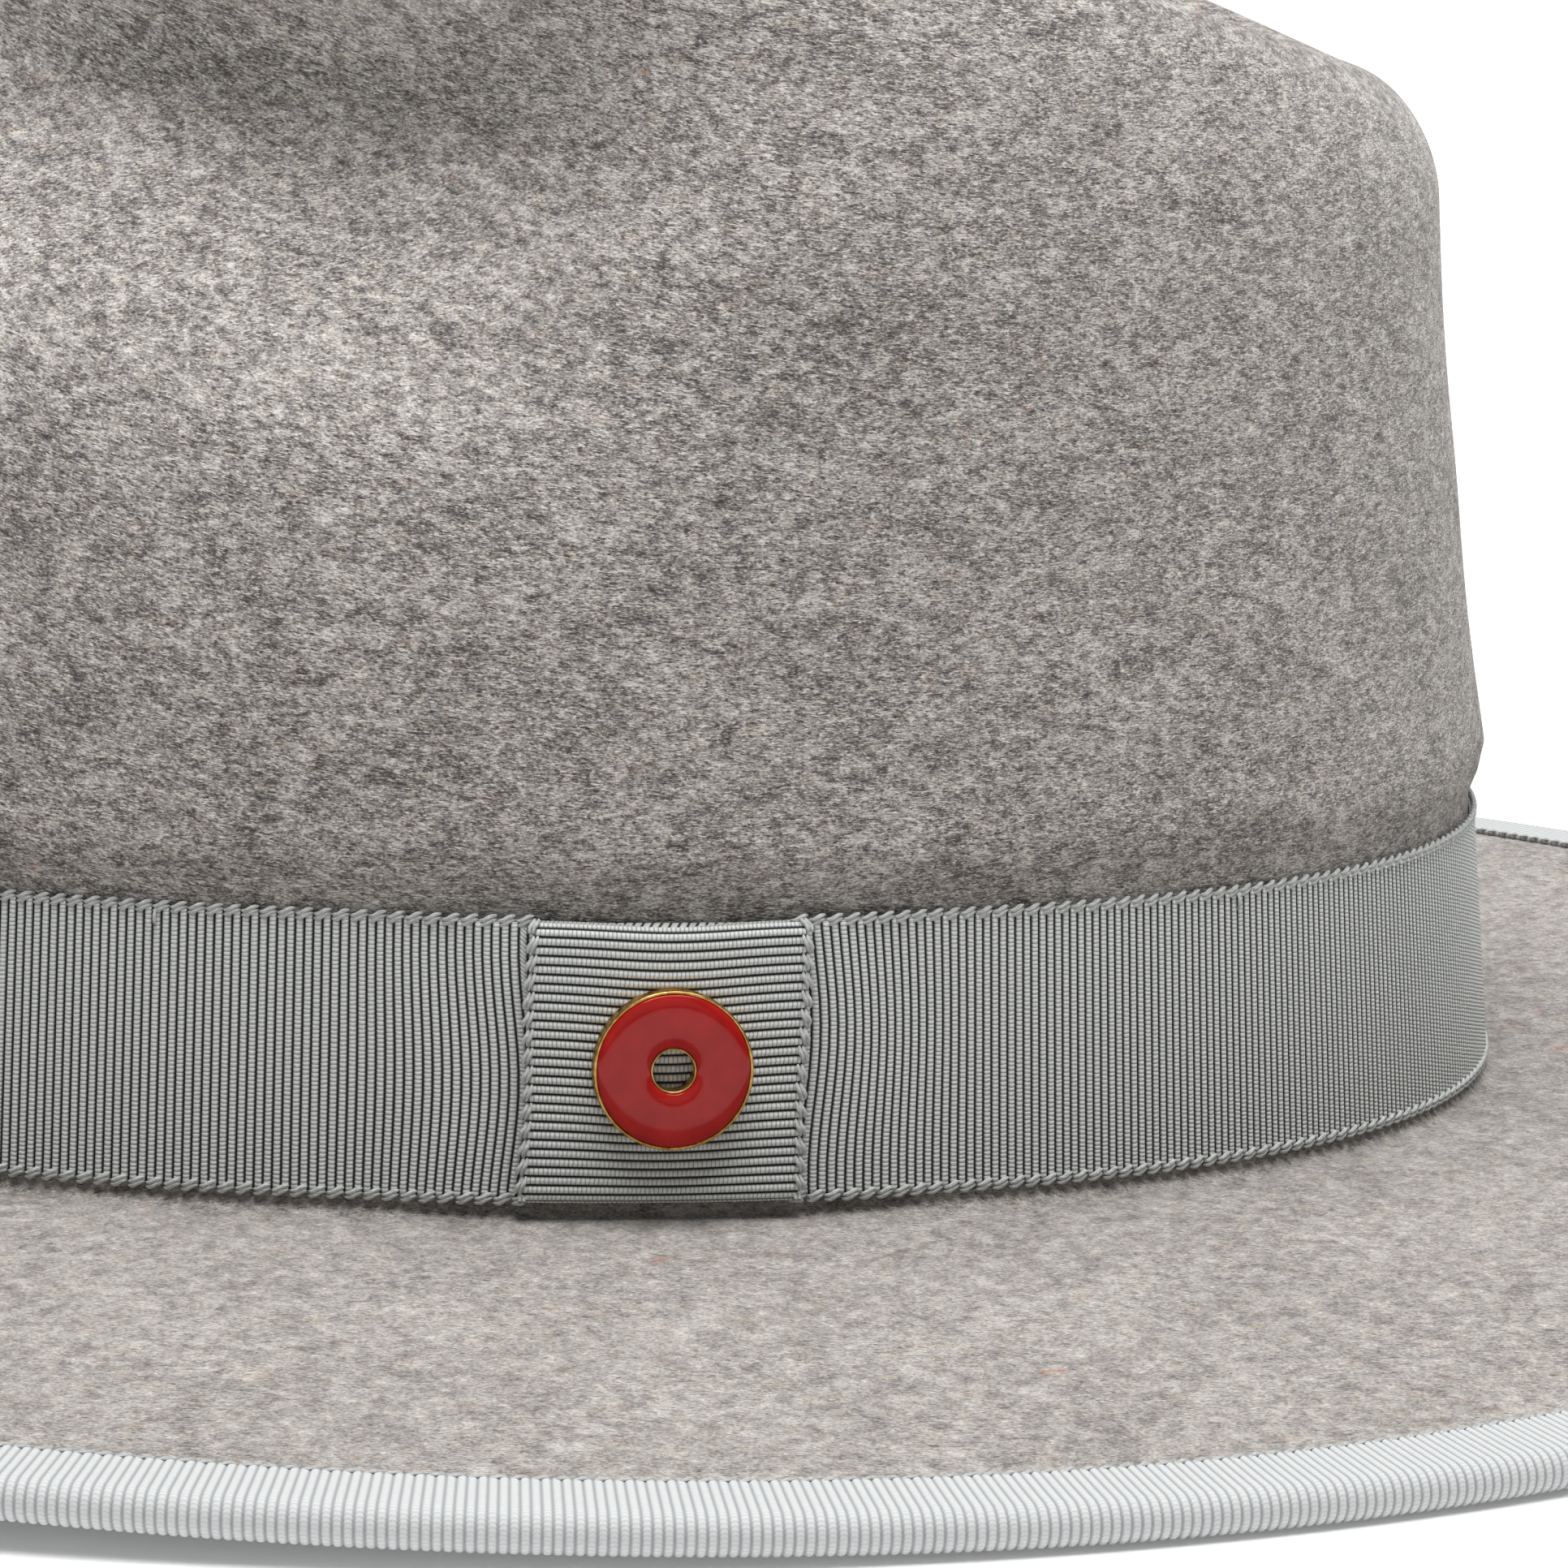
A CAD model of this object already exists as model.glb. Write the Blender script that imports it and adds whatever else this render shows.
"""Looks of the felt fedora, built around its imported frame.

Sizes in this script are millimetres until a mesh is made. A place on the hat is an angle round the
head oval (0 at the wearer's left, a quarter turn at the back), a distance outward from the oval and
a height above the break, the line where the crown's wall turns into the brim.
"""
import math

import bmesh
import bpy
import numpy as np
from mathutils import Matrix, Vector


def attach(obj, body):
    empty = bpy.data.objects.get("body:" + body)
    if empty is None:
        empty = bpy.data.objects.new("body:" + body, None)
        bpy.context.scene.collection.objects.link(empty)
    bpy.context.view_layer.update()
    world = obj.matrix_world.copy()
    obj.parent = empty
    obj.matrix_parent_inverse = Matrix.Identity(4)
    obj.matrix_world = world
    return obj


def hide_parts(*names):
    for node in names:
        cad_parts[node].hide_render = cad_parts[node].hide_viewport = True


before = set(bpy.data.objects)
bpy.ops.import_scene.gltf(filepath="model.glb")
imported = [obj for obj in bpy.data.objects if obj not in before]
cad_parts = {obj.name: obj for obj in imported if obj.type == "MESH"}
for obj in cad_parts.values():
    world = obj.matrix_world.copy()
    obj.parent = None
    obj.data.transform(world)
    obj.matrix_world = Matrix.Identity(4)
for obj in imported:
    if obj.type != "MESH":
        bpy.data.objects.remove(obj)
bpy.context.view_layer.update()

MM = 0.001
TURN = 2 * math.pi
BODY = "hat"
PIN_BODY = "pin"

# ---- Sizes, as the frame has them ----

HALF_LENGTH = 105.56         # head oval at the outside of the crown's foot
HALF_WIDTH = 82.58
FELT = 2.2
SIDE_LEAN = math.tan(math.radians(4.15))
BACK_LEAN = math.tan(math.radians(5.66))
CROWN_PEAK = 120.8
CREST_FALL = 19.3
CREST_LENGTH = 85.25
CREST_WIDTH = 60.0
CREST_TAPER = 0.2
CREST_SLANT = 0.95           # how far the crest's fall leans to the back
SIDE_SHOULDER = 40.0
END_SHOULDER = 12.8
DENT_DEPTH = 24.0
DENT_ROUNDNESS = 0.75        # lower is a flatter floor to the dent
SHOULDER_SHARE = 0.45        # the part of the wall's length that rounds over into the crest
BREAK_FADE = 60.0            # the wall forgets the break's saddle by this height
PINCH_SHARE = 0.3
PINCH_MIDDLE = -32.0
PINCH_REACH = 49.0
PINCH_HEIGHT = 99.5
PINCH_LOWEST = 5.0
PINCH_CURVE = 0.0014
PINCH_ABOVE = 14.0
PINCH_BELOW = 20.0
# Where the pinches have been pressed in further by hand. Each dimple has the share of the hat's width that
# it takes up, its place along the hat, its height above the break, and its reach along and up.
DIMPLES = [(0.052, -32.0, 110.0, 44.0, 12.0), (0.04, -66.0, 95.0, 26.0, 13.0)]
BAND_SQUEEZE = 1.8
SQUEEZE_START = 1.0
SQUEEZE_RISE = 5.0
SQUEEZE_FADE = 19.0
BRIM_WIDTH = 78.22
BRIM_WIDTH_CHANGE = 2.15
BREAK_RISE = 1.05
BRIM_FALL = -3.97
BRIM_TILT = -0.4
BRIM_SADDLE = -1.72
BRIM_WAVE = -1.42
BRIM_SWEEP = 1.2             # above 1 the brim is flatter near the crown
FOOT_DROP = 1.6
FOOT_CURVE = 0.5

RIBBON = 25.4
RIBBON_THICK = 0.6
GAP = 0.12
LAYER = RIBBON_THICK + GAP
BAND_FOOT = 0.5
BINDING_COVER = 8.7
KEEPER_ARC = 19.7
SWELL_REACH = 29.0
SWELL_SLOPE = 14.0
PIN_BEHIND_KEEPER = 0.4
PIN_BELOW_KEEPER = 0.3
PIN_STANDOFF = 0.22
LINING = 0.35
SWEAT_FOOT = 1.4
SWEAT_HEIGHT = 36.0
SWEAT_THICK = 0.9
SWEAT_SWELL = 3.4
SWEAT_SEAM = 1.6
REED_HEIGHT = 0.1
TAPE_INSIDE = 0.86
TAPE_OUTSIDE = 1.16
THREAD = 0.2
TACKS = 6
TAB_WIDTH = 14.0
TAB_HEIGHT = 20.0
TAB_THICK = 0.25
TAB_ANGLE = math.pi / 2 + 0.35
BOW_REACH = 6.4              # from the bow's knot to the tip of a loop
BOW_THICK = 0.2
RIB_PITCH = 0.85             # from one rib of a ribbon to the next
BEAD_PITCH = 0.4             # from one turn of weft to the next, along a rib
BAND_RIB = 0.24              # heights of the ribs
KEEPER_RIB = 0.26
BINDING_RIB = 0.17
PUCKER_START = 11.0          # distances from the keeper's middle, along the hatband
PUCKER_FADE = 22.0
HELD_IN = 13.0
EDGE_STOP = 12.2
WOVEN_EDGE = 0.3             # width of the keeper's woven edge, which keeper_edges makes


# ---- The hat's surface. Angles and shares are numpy arrays; places are arrays of (x, y, z) ----

def smooth(share):
    """0 below 0, 1 above 1, and a smooth step between."""
    share = np.clip(share, 0.0, 1.0)
    return share * share * (3 - 2 * share)


def full_turn(count):
    """Evenly spaced angles, once round."""
    return np.arange(count) * TURN / count


def travelled(steps):
    """The distance gone before each step and after the last."""
    return np.concatenate([[0], np.cumsum(steps)])


def unit(vectors):
    """Vectors along the last axis, brought to length 1."""
    return vectors / np.linalg.norm(vectors, axis=-1, keepdims=True)


def break_height(angle):
    return BREAK_RISE * np.cos(2 * angle)


def edge_height(angle):
    """Height of the underside of the bound edge above the mean break."""
    return (break_height(angle) + BRIM_FALL + BRIM_TILT * np.sin(angle)
            + BRIM_SADDLE * np.cos(2 * angle) + BRIM_WAVE * np.sin(3 * angle))


BREAK_LIFT = -float(np.min(edge_height(full_turn(720))))


def oval_normal(angle):
    """The level direction straight out of the head oval."""
    angle = np.asarray(angle, dtype=float)
    return unit(np.stack([np.cos(angle) / HALF_WIDTH, np.sin(angle) / HALF_LENGTH, 0 * angle], axis=-1))


def oval_place(angle, outward, height):
    """The place at a distance outward from the head oval, at a height above the break."""
    angle, outward, height = np.broadcast_arrays(np.asarray(angle, dtype=float), outward, height)
    base = np.stack([HALF_WIDTH * np.cos(angle), HALF_LENGTH * np.sin(angle), height + BREAK_LIFT], axis=-1)
    return base + oval_normal(angle) * outward[..., None]


def lean_slope(angle):
    return np.tan(np.arctan(SIDE_LEAN) * np.cos(angle) ** 2 + np.arctan(BACK_LEAN) * np.sin(angle) ** 2)


def wall_place(angle, outward, height):
    """A place on the straight part of the wall, outward from the felt's outer face."""
    lean = lean_slope(angle) * np.maximum(height, 0.0)
    return oval_place(angle, outward - lean, height + break_height(angle))


def squeeze(height):
    """How far the felt stands out just above the hatband, which draws the crown's foot in."""
    above = height - BAND_FOOT - RIBBON - SQUEEZE_START
    fade = np.exp(-np.maximum(above - SQUEEZE_RISE, 0) / SQUEEZE_FADE)
    return BAND_SQUEEZE * smooth(above / SQUEEZE_RISE) * fade


def crest_height(angle):
    return CROWN_PEAK - CREST_FALL * (CREST_SLANT * np.sin(angle) + 1 - CREST_SLANT) ** 2


def crest_plan(angle):
    x = CREST_WIDTH * np.cos(angle) * (1 + CREST_TAPER * np.sin(angle))
    return x, CREST_LENGTH * np.sin(angle)


def pinched(place):
    """Places on the crown, drawn in by the pinches at the two sides of the front."""
    along = (place[..., 1] - PINCH_MIDDLE) / PINCH_REACH
    pinch_line = PINCH_HEIGHT + PINCH_CURVE * (place[..., 1] - PINCH_LOWEST) ** 2
    above = place[..., 2] - BREAK_LIFT - pinch_line
    above = np.where(above > 0, above / PINCH_ABOVE, above / PINCH_BELOW)
    share = PINCH_SHARE * np.exp(-along ** 4 - above ** 2)
    for depth, middle, height, reach, rise in DIMPLES:
        along = (place[..., 1] - middle) / reach
        above = (place[..., 2] - BREAK_LIFT - height) / rise
        share = share + depth * np.exp(-along ** 2 - above ** 2)
    return place * np.stack([1 - share, 1 + 0 * share, 1 + 0 * share], axis=-1)


def crown_top(angle, share):
    """The dented top, from its middle (share 0) to the crest (share 1)."""
    x, y = crest_plan(angle)
    drop = DENT_DEPTH * (1 - np.cos(math.pi * (1 - share) ** DENT_ROUNDNESS)) / 2
    height = CROWN_PEAK + (crest_height(angle) - CROWN_PEAK) * smooth(share) - drop
    return pinched(np.stack([x * share, y * share, height + BREAK_LIFT], axis=-1))


def crown_wall(angle, share):
    """The wall, from the crest (share 0) down to the break (share 1)."""
    x, y = crest_plan(angle)
    shoulder = END_SHOULDER + (SIDE_SHOULDER - END_SHOULDER) * np.cos(angle) ** 2
    shoulder_height = crest_height(angle) - shoulder
    rounded = share < SHOULDER_SHARE
    turn = math.pi / 2 * np.clip(1 - share / SHOULDER_SHARE, 0, 1)
    height = np.where(rounded, shoulder_height + shoulder * np.sin(turn),
                      shoulder_height * (1 - share) / (1 - SHOULDER_SHARE))
    above_break = height - break_height(angle) * np.where(rounded, 1, smooth(height / BREAK_FADE))
    place = wall_place(angle, squeeze(height), above_break)
    inward = np.where(rounded, 1 - np.cos(turn), 0)
    place[..., 0] += (x - place[..., 0]) * inward
    place[..., 1] += (y - place[..., 1]) * inward
    return pinched(place)


def brim_reach(angle):
    return BRIM_WIDTH + BRIM_WIDTH_CHANGE * np.cos(2 * angle)


def felt_edge(angle):
    return brim_reach(angle) - LAYER


def brim_top_height(angle, outward):
    """Height above the break of the brim's upper face."""
    start = break_height(angle) - FOOT_DROP
    finish = edge_height(angle) + LAYER + FELT
    share = np.clip(outward / felt_edge(angle), 0, None)
    return start + (finish - start) * share ** BRIM_SWEEP + FOOT_DROP * np.exp(-outward / FOOT_CURVE)


# ---- Mesh making ----

def grid_piece(name, places, closed_rows=False, closed_columns=False, weave=None, body=BODY):
    """A piece from a grid of places in mm, with its weave coordinates (mm) as its UV map."""
    rows, columns = places.shape[:2]
    row_count = rows if closed_rows else rows - 1
    column_count = columns if closed_columns else columns - 1
    row = np.arange(row_count)[:, None]
    column = np.arange(column_count)[None, :]
    next_row, next_column = (row + 1) % rows, (column + 1) % columns
    corners = [row * columns + column, row * columns + next_column, next_row * columns + next_column,
               next_row * columns + column]
    corners = np.stack(np.broadcast_arrays(*corners), axis=-1)
    mesh = bpy.data.meshes.new(name)
    mesh.from_pydata((places.reshape(-1, 3) * MM).tolist(), [], corners.reshape(-1, 4).tolist())
    if weave is not None:
        across, up = [np.stack([part[row, column], part[row, column + 1], part[row + 1, column + 1],
                                part[row + 1, column]], axis=-1) for part in weave]
        layer = mesh.uv_layers.new(name="weave")
        layer.data.foreach_set("uv", np.stack([across, up], axis=-1).reshape(-1).astype(np.float32))
    return add_piece(name, mesh, body)


def add_piece(name, mesh, body=BODY):
    mesh.polygons.foreach_set("use_smooth", [True] * len(mesh.polygons))
    mesh.update()
    piece = bpy.data.objects.new(name, mesh)
    bpy.context.scene.collection.objects.link(piece)
    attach(piece, body)
    return piece


def dress(piece, material, slot, *nodes):
    """Give a piece its material, the record's slot and the CAD nodes that it stands for."""
    piece.data.materials.clear()
    piece.data.materials.append(material)
    if nodes:
        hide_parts(*nodes)
    return piece


# ---- Material helpers ----

class Shader:
    """A material being built: each call adds a node, and inputs may be numbers or other outputs.

    In add, an input is named as its socket is, or by the letter i and its number."""

    def __init__(self, name):
        self.material = bpy.data.materials.new(name)
        self.material.use_nodes = True
        self.tree = self.material.node_tree
        self.surface = self.tree.nodes["Principled BSDF"]

    def add(self, kind, settings=None, **inputs):
        made = self.tree.nodes.new(kind)
        for key, value in (settings or {}).items():
            setattr(made, key, value)
        for key, value in inputs.items():
            self.put(made.inputs[int(key[1:]) if key[0] == "i" and key[1:].isdigit() else key], value)
        return made

    def put(self, socket, value):
        if isinstance(value, bpy.types.NodeSocket):
            self.tree.links.new(value, socket)
        else:
            socket.default_value = value

    def place(self):
        """The point's own place on the hat, in metres."""
        return self.add("ShaderNodeTexCoord").outputs["Object"]

    def weave(self):
        """The cloth's weave coordinates, in mm."""
        return self.add("ShaderNodeUVMap", {"uv_map": "weave"}).outputs[0]

    def math(self, operation, first, second=0.0, third=0.0, clamp=False):
        made = self.add("ShaderNodeMath", {"operation": operation, "use_clamp": clamp}, i0=first, i1=second)
        if operation == "MULTIPLY_ADD":
            self.put(made.inputs[2], third)
        return made.outputs[0]

    def scaled(self, value, share, shift, clamp=False):
        return self.math("MULTIPLY_ADD", value, share, shift, clamp)

    def step(self, value, low, high, to_low=0.0, to_high=1.0):
        """A smooth step of value from low to high, clamped."""
        return self.add("ShaderNodeMapRange", {"interpolation_type": "SMOOTHSTEP"}, i0=value, i1=low, i2=high,
                        i3=to_low, i4=to_high).outputs[0]

    def mapped(self, vector, scale=(1, 1, 1), turn=(0, 0, 0), shift=(0, 0, 0)):
        made = self.add("ShaderNodeMapping", Vector=vector, Scale=scale, Location=shift)
        made.inputs["Rotation"].default_value = [math.radians(angle) for angle in turn]
        return made.outputs[0]

    def noise(self, vector, scale, detail=2.0, roughness=0.5, distortion=0.0):
        made = self.add("ShaderNodeTexNoise", Vector=vector, Scale=scale, Detail=detail,
                        Roughness=roughness, Distortion=distortion)
        return made.outputs["Fac"]

    def mix(self, factor, first, second, kind="MIX"):
        settings = {"data_type": "RGBA", "blend_type": kind}
        return self.add("ShaderNodeMix", settings, i0=factor, i6=first, i7=second).outputs[2]

    def ramp(self, value, *stops):
        made = self.add("ShaderNodeValToRGB", i0=value)
        points = made.color_ramp.elements
        while len(points) < len(stops):
            points.new(0.5)
        for point, (place, colour) in zip(points, stops):
            point.position = place
            point.color = colour
        return made.outputs[0]

    def bump(self, height, strength, distance, under=None):
        made = self.add("ShaderNodeBump", Height=height, Strength=strength, Distance=distance)
        if under is not None:
            self.put(made.inputs["Normal"], under)
        return made.outputs[0]

    def finish(self, colour, roughness, normal=None, **sockets):
        self.put(self.surface.inputs["Base Color"], colour)
        self.put(self.surface.inputs["Roughness"], roughness)
        if normal is not None:
            self.put(self.surface.inputs["Normal"], normal)
        for key, value in sockets.items():
            self.put(self.surface.inputs[key.replace("_", " ")], value)
        return self.material


def srgb(red, green, blue):
    """An sRGB colour, 0 to 255, as linear RGBA."""
    parts = [channel / 255 for channel in (red, green, blue)]
    linear = [part / 12.92 if part <= 0.04045 else ((part + 0.055) / 1.055) ** 2.4 for part in parts]
    return (*linear, 1.0)


# ---- Materials ----

def felt_material():
    """Heather wool felt: short light and dark fibres lying mostly level, over soft mottling."""
    felt = Shader("heather_felt")
    place = felt.place()
    normal = felt.add("ShaderNodeNewGeometry").outputs["Normal"]
    upright = felt.add("ShaderNodeSeparateXYZ", i0=normal).outputs[2]
    flatness = felt.step(felt.math("ABSOLUTE", upright), 0.35, 0.8)

    parts = felt.add("ShaderNodeSeparateXYZ", i0=place).outputs
    ahead = felt.math("EXPONENT", felt.scaled(parts[1], -1 / 0.06, -0.065 / 0.06))
    slant = felt.scaled(felt.math("MINIMUM", ahead, 1.4), -0.27, 1.0)
    combed = felt.add("ShaderNodeCombineXYZ", i0=parts[0], i1=parts[1],
                      i2=felt.math("MULTIPLY", parts[2], slant)).outputs[0]

    def fibres(vector, scale, turns, seed):
        """The strongest of several sets of fibres, each lying a little differently."""
        shifts = [(seed + number, seed, -seed) for number in range(len(turns))]
        streaks = [felt.noise(felt.mapped(vector, scale, turn, shift), 1.0, 2.0, 0.6, 0.3)
                   for turn, shift in zip(turns, shifts)]
        strongest = felt.math("MAXIMUM", streaks[0], streaks[1])
        return felt.math("MAXIMUM", strongest, streaks[2])

    wall_turns = [(18, 8, 0), (-3, -16, 0), (-20, 12, 0)]
    brim_turns = [(0, 0, 12), (0, 0, 80), (0, 0, -28)]
    wall_scale = (1300, 1300, 7200)
    brim_scale = (7000, 1500, 1500)

    def both(seed):
        wall = fibres(combed, wall_scale, wall_turns, seed)
        brim = fibres(place, brim_scale, brim_turns, seed + 5)
        return felt.add("ShaderNodeMix", {"data_type": "FLOAT"}, i0=flatness, i2=wall, i3=brim).outputs[0]

    light = felt.step(both(3.0), 0.55, 0.74)
    dark = felt.step(both(17.0), 0.57, 0.76)
    grain = felt.noise(felt.mapped(combed, (3000, 3000, 5200)), 1.0, 3.0, 0.65)
    patch = felt.noise(felt.mapped(combed, (300, 300, 640)), 1.0, 3.0, 0.55, 0.3)
    fleck = felt.noise(felt.mapped(combed, (700, 700, 1700), shift=(4, 1, 6)), 1.0, 3.0, 0.6, 0.3)
    cloud = felt.noise(felt.mapped(place, (75, 75, 110)), 1.0, 2.0, 0.5)
    level = felt.scaled(grain, 1.0, -0.5)
    for texture, share in ((patch, 0.55), (fleck, 0.9), (cloud, 0.22)):
        level = felt.math("ADD", level, felt.scaled(texture, share, -share / 2))
    level = felt.scaled(light, 0.50, level)
    level = felt.scaled(dark, -0.56, level)
    contrast = felt.step(parts[2], 0.014, 0.028, 0.8, 1.4)
    middle = felt.step(parts[2], 0.014, 0.028, 0.49, 0.455)
    level = felt.scaled(level, contrast, middle, clamp=True)
    colour = felt.ramp(level, (0.0, srgb(64, 60, 60)), (0.28, srgb(112, 107, 104)),
                       (0.5, srgb(150, 145, 140)), (0.75, srgb(184, 179, 173)), (1.0, srgb(216, 212, 206)))
    warm = felt.noise(felt.mapped(place, (520, 520, 1300), shift=(9, 2, 4)), 1.0, 2.0, 0.6)
    colour = felt.mix(felt.step(warm, 0.5, 0.75, 0.0, 0.5), colour, srgb(168, 150, 128), "SOFT_LIGHT")
    cool = felt.noise(felt.mapped(place, (480, 480, 1200), shift=(-3, 8, 1)), 1.0, 2.0, 0.6)
    colour = felt.mix(felt.step(cool, 0.52, 0.75, 0.0, 0.5), colour, srgb(118, 124, 140), "SOFT_LIGHT")
    speck = felt.noise(felt.mapped(place, (300, 300, 900), shift=(1, 5, 7)), 1.0, 1.0, 0.5)
    colour = felt.mix(felt.step(speck, 0.79, 0.83, 0.0, 0.6), colour, srgb(170, 98, 72))
    nap = felt.math("ADD", felt.math("MULTIPLY", light, 0.6), felt.math("MULTIPLY", grain, 0.6))
    nap = felt.scaled(dark, -0.6, nap)
    relief = felt.bump(patch, 0.35, 0.0006)
    relief = felt.bump(nap, 0.55, 0.00022, relief)
    return felt.finish(colour, 0.95, relief, Sheen_Weight=0.25, Sheen_Roughness=0.6, Specular_IOR_Level=0.15)


def ribbon_material(name, thread, gap, bead_bump=0.5, bead_shade=0.66, sheen=0.15):
    """Ribbed grosgrain: u runs across the ribs and v along them, in mm."""
    ribbon = Shader(name)
    weave = ribbon.weave()
    split = ribbon.add("ShaderNodeSeparateXYZ", i0=weave)
    across = ribbon.math("DIVIDE", split.outputs[0], RIB_PITCH)
    odd = ribbon.math("MULTIPLY", ribbon.math("FLOOR", ribbon.math("MODULO", across, 2.0)), 0.5)
    along = ribbon.math("ADD", ribbon.math("DIVIDE", split.outputs[1], BEAD_PITCH), odd)
    wobble = ribbon.noise(ribbon.mapped(weave, (0.8, 0.8, 1)), 1.0, 2.0)
    along = ribbon.math("ADD", along, ribbon.math("MULTIPLY", wobble, 0.6))
    rib = ribbon.math("ABSOLUTE", ribbon.math("SINE", ribbon.math("MULTIPLY", across, math.pi)))
    bead = ribbon.math("ABSOLUTE", ribbon.math("SINE", ribbon.math("MULTIPLY", along, math.pi)))
    lint = ribbon.noise(ribbon.mapped(weave, (3.4, 5.2, 1)), 1.0, 3.0, 0.6)
    thread_shade = ribbon.noise(ribbon.mapped(weave, (0.9, 2.4, 1)), 1.0, 2.0, 0.6)
    depth = ribbon.step(rib, 0.15, 0.8)
    cell = ribbon.scaled(ribbon.step(bead, 0.05, 0.7), 1 - bead_shade, bead_shade)
    level = ribbon.math("MULTIPLY", depth, cell)
    level = ribbon.math("MULTIPLY", level, ribbon.scaled(lint, 0.5, 0.75))
    level = ribbon.math("MULTIPLY", level, ribbon.scaled(thread_shade, 0.3, 0.85), clamp=True)
    colour = ribbon.mix(level, gap, thread)
    height = ribbon.scaled(lint, 0.25, bead)
    relief = ribbon.bump(height, bead_bump, 0.00012)
    return ribbon.finish(colour, 0.72, relief, Sheen_Weight=sheen, Sheen_Roughness=0.4,
                         Specular_IOR_Level=0.3)


def thread_material(name, colour):
    """Spun thread: u runs along the thread and v round it, in mm."""
    thread = Shader(name)
    weave = thread.weave()
    strand = thread.noise(thread.mapped(weave, (2.0, 9.0, 1), (0, 0, 28)), 1.0, 3.0, 0.6)
    shadow = (*(0.55 * part for part in colour[:3]), 1)
    shade = thread.mix(thread.step(strand, 0.35, 0.65), shadow, colour)
    relief = thread.bump(strand, 0.6, 0.0001)
    return thread.finish(shade, 0.75, relief, Sheen_Weight=0.2, Specular_IOR_Level=0.3)


def gilt_material():
    gilt = Shader("gilt")
    place = gilt.place()
    wear = gilt.noise(place, 900, 4.0, 0.6)
    scratch = gilt.noise(gilt.mapped(place, (900, 900, 6000)), 1.0, 2.0, 0.6)
    colour = gilt.mix(gilt.step(wear, 0.35, 0.7), srgb(172, 128, 62), srgb(226, 186, 112))
    roughness = gilt.scaled(wear, 0.25, 0.18)
    return gilt.finish(colour, roughness, gilt.bump(scratch, 0.15, 0.00008), Metallic=1.0)


def enamel_material():
    """Deep red enamel, glassy, with a slight unevenness of depth."""
    enamel = Shader("red_enamel")
    place = enamel.place()
    depth = enamel.noise(place, 420, 2.0)
    colour = enamel.mix(enamel.step(depth, 0.3, 0.7), srgb(158, 24, 23), srgb(170, 31, 28))
    ripple = enamel.noise(place, 260, 1.0)
    return enamel.finish(colour, 0.1, enamel.bump(ripple, 0.02, 0.0003), Specular_IOR_Level=0.22)


def leather_material():
    """Smooth hat leather with a fine grain and a little wear."""
    leather = Shader("hat_leather")
    place = leather.place()
    cells = leather.add("ShaderNodeTexVoronoi", {"feature": "DISTANCE_TO_EDGE"}, Vector=place, Scale=1400.0)
    crease = leather.step(cells.outputs["Distance"], 0.02, 0.16)
    cloud = leather.noise(leather.mapped(place, (90, 90, 140)), 1.0, 3.0, 0.6)
    grain = leather.noise(place, 2600, 3.0, 0.6)
    colour = leather.mix(leather.step(cloud, 0.3, 0.7), srgb(112, 88, 70), srgb(138, 112, 92))
    colour = leather.mix(leather.scaled(crease, -0.35, 0.35), colour, srgb(70, 52, 42))
    roughness = leather.scaled(grain, 0.25, 0.36)
    height = leather.scaled(grain, 0.3, crease)
    return leather.finish(colour, roughness, leather.bump(height, 0.35, 0.00012), Specular_IOR_Level=0.4)


def satin_material():
    """Lining satin: fine threads along v with a soft gloss."""
    satin = Shader("lining_satin")
    weave = satin.weave()
    threads = satin.noise(satin.mapped(weave, (7.0, 0.5, 1)), 1.0, 3.0, 0.6)
    crossing = satin.noise(satin.mapped(weave, (0.8, 5.0, 1)), 1.0, 2.0, 0.6)
    soft = satin.noise(satin.mapped(weave, (0.05, 0.03, 1)), 1.0, 2.0, 0.5)
    level = satin.scaled(crossing, 0.35, satin.math("MULTIPLY", threads, 0.65))
    colour = satin.mix(satin.step(level, 0.35, 0.65), srgb(132, 133, 136), srgb(166, 168, 171))
    colour = satin.mix(satin.step(soft, 0.35, 0.65, 0.0, 0.3), colour, srgb(150, 148, 146))
    roughness = satin.scaled(level, 0.3, 0.24)
    return satin.finish(colour, roughness, satin.bump(level, 0.3, 0.00006), Sheen_Weight=0.3,
                        Sheen_Roughness=0.3, Specular_IOR_Level=0.5)


def tab_material():
    """Plain woven tab cloth."""
    cloth = Shader("tab_cloth")
    weave = cloth.weave()
    warp, weft = [cloth.add("ShaderNodeTexWave", {"bands_direction": way}, Vector=weave, Scale=0.85,
                            Distortion=1.2, Detail=2.0).outputs["Fac"] for way in "XY"]
    level = cloth.math("MULTIPLY", warp, weft)
    colour = cloth.mix(level, srgb(198, 195, 188), srgb(232, 230, 224))
    return cloth.finish(colour, 0.8, cloth.bump(level, 0.4, 0.00008), Sheen_Weight=0.15,
                        Specular_IOR_Level=0.3)


def plastic_material():
    """The reed's extruded plastic, faintly lined along its length."""
    plastic = Shader("reed_plastic")
    place = plastic.place()
    lines = plastic.noise(plastic.mapped(place, (200, 200, 3500)), 1.0, 3.0, 0.6)
    colour = plastic.mix(plastic.step(lines, 0.3, 0.7), srgb(214, 210, 200), srgb(230, 226, 218))
    return plastic.finish(colour, plastic.scaled(lines, 0.2, 0.3),
                          plastic.bump(lines, 0.15, 0.00005), Specular_IOR_Level=0.5)


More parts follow.
